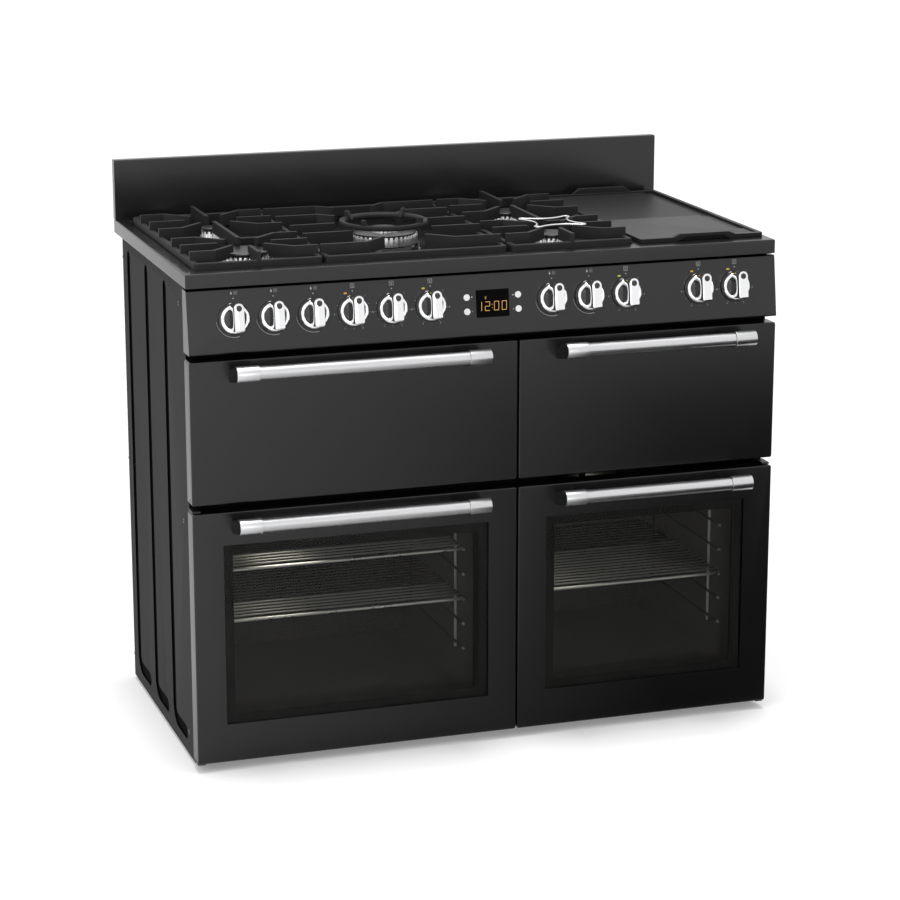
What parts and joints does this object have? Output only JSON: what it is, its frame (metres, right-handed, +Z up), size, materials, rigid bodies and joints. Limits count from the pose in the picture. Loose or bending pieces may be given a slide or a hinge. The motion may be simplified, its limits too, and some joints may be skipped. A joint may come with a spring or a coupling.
{
  "type": "range cooker",
  "caption": "Wide free-standing range cooker: gas hob with griddle and splashback, sloping panel of knobs with a clock, drop-down upper doors and side-hinged oven doors with windows.",
  "frame": {"origin": "on the floor, under the middle of the cooker's outline", "axes": "+X to the cooker's right as seen from the front, +Y to the rear, so that the doors face -Y, +Z up"},
  "size_m": [1.1, 0.67, 1.014],
  "materials": {
    "side_black": "satin charcoal paint",
    "front_black": "satin black enamel",
    "zinc_steel": "zinc coated",
    "black_enamel": "gloss vitreous enamel",
    "cast_iron": "matt enamelled casting",
    "wire_chrome": "bright plated wire",
    "knob_chrome": "polished, with black inserts",
    "handle_steel": "brushed bar with polished ends",
    "element_steel": "dull heat-stained sheath",
    "burner_aluminium": "satin casting",
    "brass_and_pipe": "machined",
    "switch_plastic": "moulded",
    "foot_plastic": "moulded",
    "seal_rubber": "woven sleeve",
    "clock_plastic": "gloss window",
    "button_plastic": "gloss white",
    "door_glass": "tinted, with a printed black border"
  },
  "bodies": {
    "cabinet": {"side_panel_left": "side_black", "side_panel_right": "side_black", "back_panel": "zinc_steel", "chassis_base": "zinc_steel", "levelling_feet": "foot_plastic", "front_frame": "front_black", "hob_top": "front_black", "splashback": "front_black", "control_panel": "front_black", "clock_display": "clock_plastic", "grill_cavity": "black_enamel", "main_oven_cavity": "black_enamel", "top_oven_cavity": "black_enamel", "fan_oven_cavity": "black_enamel", "shelf_runners": "wire_chrome", "heating_elements": "element_steel", "burner_crowns": "burner_aluminium", "burner_caps": "black_enamel", "gas_manifold": "brass_and_pipe", "oven_switches": "switch_plastic", "door_seals": "seal_rubber", "door_hinges": "zinc_steel"},
    "grill_door": {"grill_door_panel": "front_black", "grill_door_liner": "black_enamel", "grill_door_handle": "handle_steel"},
    "top_oven_door": {"top_oven_door_panel": "front_black", "top_oven_door_liner": "black_enamel", "top_oven_door_handle": "handle_steel"},
    "main_oven_door": {"main_oven_door_panel": "front_black", "main_oven_door_glass": "door_glass", "main_oven_door_liner": "black_enamel", "main_oven_door_handle": "handle_steel"},
    "fan_oven_door": {"fan_oven_door_panel": "front_black", "fan_oven_door_glass": "door_glass", "fan_oven_door_liner": "black_enamel", "fan_oven_door_handle": "handle_steel"},
    "left_front_burner_knob": {"left_front_burner_knob": "knob_chrome"},
    "left_rear_burner_knob": {"left_rear_burner_knob": "knob_chrome"},
    "wok_burner_knob": {"wok_burner_knob": "knob_chrome"},
    "right_front_burner_knob": {"right_front_burner_knob": "knob_chrome"},
    "right_rear_burner_knob": {"right_rear_burner_knob": "knob_chrome"},
    "grill_knob": {"grill_knob": "knob_chrome"},
    "main_oven_function_knob": {"main_oven_function_knob": "knob_chrome"},
    "main_oven_heat_knob": {"main_oven_heat_knob": "knob_chrome"},
    "top_oven_knob": {"top_oven_knob": "knob_chrome"},
    "fan_oven_function_knob": {"fan_oven_function_knob": "knob_chrome"},
    "fan_oven_heat_knob": {"fan_oven_heat_knob": "knob_chrome"},
    "clock_button_upper_left": {"clock_button_upper_left": "button_plastic"},
    "clock_button_lower_left": {"clock_button_lower_left": "button_plastic"},
    "clock_button_upper_right": {"clock_button_upper_right": "button_plastic"},
    "clock_button_lower_right": {"clock_button_lower_right": "button_plastic"},
    "pan_support_left": {"pan_support_left": "cast_iron"},
    "pan_support_middle": {"pan_support_middle": "cast_iron"},
    "pan_support_right": {"pan_support_right": "cast_iron"},
    "griddle_plate": {"griddle_plate": "cast_iron"},
    "wok_ring": {"wok_ring": "cast_iron"},
    "pot_trivet": {"pot_trivet": "wire_chrome"},
    "main_oven_shelf_upper": {"main_oven_shelf_upper": "wire_chrome"},
    "main_oven_shelf_lower": {"main_oven_shelf_lower": "wire_chrome"},
    "fan_oven_shelf": {"fan_oven_shelf": "wire_chrome"}
  },
  "joints": [
    {"name": "grill_door_hinge", "type": "hinge", "parent": "cabinet", "child": "grill_door", "pos_m": [0, -0.261, 0.5], "axis": [1, 0, 0], "range_deg": [0, 90]},
    {"name": "top_oven_door_hinge", "type": "hinge", "parent": "cabinet", "child": "top_oven_door", "pos_m": [0, -0.261, 0.5], "axis": [1, 0, 0], "range_deg": [0, 90]},
    {"name": "main_oven_door_hinge", "type": "hinge", "parent": "cabinet", "child": "main_oven_door", "pos_m": [-0.541, -0.261, 0.2473], "axis": [0, 0, -1], "range_deg": [0, 100]},
    {"name": "fan_oven_door_hinge", "type": "hinge", "parent": "cabinet", "child": "fan_oven_door", "pos_m": [0.541, -0.261, 0.2473], "axis": [0, 0, 1], "range_deg": [0, 100]},
    {"name": "left_front_burner_knob_turn", "type": "hinge", "parent": "cabinet", "child": "left_front_burner_knob", "pos_m": [-0.467, -0.26884, 0.81939], "axis": [0, -0.9898, 0.1426], "range_deg": [0, 240]},
    {"name": "left_rear_burner_knob_turn", "type": "hinge", "parent": "cabinet", "child": "left_rear_burner_knob", "pos_m": [-0.396, -0.26884, 0.81939], "axis": [0, -0.9898, 0.1426], "range_deg": [0, 240]},
    {"name": "wok_burner_knob_turn", "type": "hinge", "parent": "cabinet", "child": "wok_burner_knob", "pos_m": [-0.325, -0.26884, 0.81939], "axis": [0, -0.9898, 0.1426], "range_deg": [0, 240]},
    {"name": "right_front_burner_knob_turn", "type": "hinge", "parent": "cabinet", "child": "right_front_burner_knob", "pos_m": [0.115, -0.26884, 0.81939], "axis": [0, -0.9898, 0.1426], "range_deg": [0, 240]},
    {"name": "right_rear_burner_knob_turn", "type": "hinge", "parent": "cabinet", "child": "right_rear_burner_knob", "pos_m": [0.186, -0.26884, 0.81939], "axis": [0, -0.9898, 0.1426], "range_deg": [0, 240]},
    {"name": "grill_knob_turn", "type": "hinge", "parent": "cabinet", "child": "grill_knob", "pos_m": [-0.254, -0.26884, 0.81939], "axis": [0, -0.9898, 0.1426], "range_deg": [-280, 0]},
    {"name": "main_oven_function_knob_turn", "type": "hinge", "parent": "cabinet", "child": "main_oven_function_knob", "pos_m": [-0.183, -0.26884, 0.81939], "axis": [0, -0.9898, 0.1426], "range_deg": [-280, 0]},
    {"name": "main_oven_heat_knob_turn", "type": "hinge", "parent": "cabinet", "child": "main_oven_heat_knob", "pos_m": [-0.112, -0.26884, 0.81939], "axis": [0, -0.9898, 0.1426], "range_deg": [-280, 0]},
    {"name": "top_oven_knob_turn", "type": "hinge", "parent": "cabinet", "child": "top_oven_knob", "pos_m": [0.257, -0.26884, 0.81939], "axis": [0, -0.9898, 0.1426], "range_deg": [-280, 0]},
    {"name": "fan_oven_function_knob_turn", "type": "hinge", "parent": "cabinet", "child": "fan_oven_function_knob", "pos_m": [0.398, -0.26884, 0.81939], "axis": [0, -0.9898, 0.1426], "range_deg": [-280, 0]},
    {"name": "fan_oven_heat_knob_turn", "type": "hinge", "parent": "cabinet", "child": "fan_oven_heat_knob", "pos_m": [0.469, -0.26884, 0.81939], "axis": [0, -0.9898, 0.1426], "range_deg": [-280, 0]},
    {"name": "clock_button_upper_left_press", "type": "slide", "parent": "cabinet", "child": "clock_button_upper_left", "axis": [0, 0.9898, -0.1426], "range_m": [0, 0.001], "stiffness_N_per_m": 300, "springref_m": -0.002},
    {"name": "clock_button_lower_left_press", "type": "slide", "parent": "cabinet", "child": "clock_button_lower_left", "axis": [0, 0.9898, -0.1426], "range_m": [0, 0.001], "stiffness_N_per_m": 300, "springref_m": -0.002},
    {"name": "clock_button_upper_right_press", "type": "slide", "parent": "cabinet", "child": "clock_button_upper_right", "axis": [0, 0.9898, -0.1426], "range_m": [0, 0.001], "stiffness_N_per_m": 300, "springref_m": -0.002},
    {"name": "clock_button_lower_right_press", "type": "slide", "parent": "cabinet", "child": "clock_button_lower_right", "axis": [0, 0.9898, -0.1426], "range_m": [0, 0.001], "stiffness_N_per_m": 300, "springref_m": -0.002},
    {"name": "pan_support_left_lift", "type": "slide", "parent": "cabinet", "child": "pan_support_left", "axis": [0, 0, 1], "range_m": [0, 0.12]},
    {"name": "pan_support_middle_lift", "type": "slide", "parent": "cabinet", "child": "pan_support_middle", "axis": [0, 0, 1], "range_m": [0, 0.12]},
    {"name": "pan_support_right_lift", "type": "slide", "parent": "cabinet", "child": "pan_support_right", "axis": [0, 0, 1], "range_m": [0, 0.12]},
    {"name": "griddle_plate_lift", "type": "slide", "parent": "cabinet", "child": "griddle_plate", "axis": [0, 0, 1], "range_m": [0, 0.12]},
    {"name": "wok_ring_lift", "type": "slide", "parent": "pan_support_middle", "child": "wok_ring", "axis": [0, 0, 1], "range_m": [0, 0.08]},
    {"name": "pot_trivet_lift", "type": "slide", "parent": "pan_support_right", "child": "pot_trivet", "axis": [0, 0, 1], "range_m": [0, 0.08]},
    {"name": "main_oven_shelf_upper_slide", "type": "slide", "parent": "cabinet", "child": "main_oven_shelf_upper", "axis": [0, -1, 0], "range_m": [0, 0.158]},
    {"name": "main_oven_shelf_lower_slide", "type": "slide", "parent": "cabinet", "child": "main_oven_shelf_lower", "axis": [0, -1, 0], "range_m": [0, 0.158]},
    {"name": "fan_oven_shelf_slide", "type": "slide", "parent": "cabinet", "child": "fan_oven_shelf", "axis": [0, -1, 0], "range_m": [0, 0.158]}
  ],
  "couplings": [
    {"joint": "main_oven_shelf_upper_slide", "follows": "main_oven_door_hinge", "m_per_rad": 0.09},
    {"joint": "main_oven_shelf_lower_slide", "follows": "main_oven_door_hinge", "m_per_rad": 0.09},
    {"joint": "fan_oven_shelf_slide", "follows": "fan_oven_door_hinge", "m_per_rad": 0.09}
  ]
}
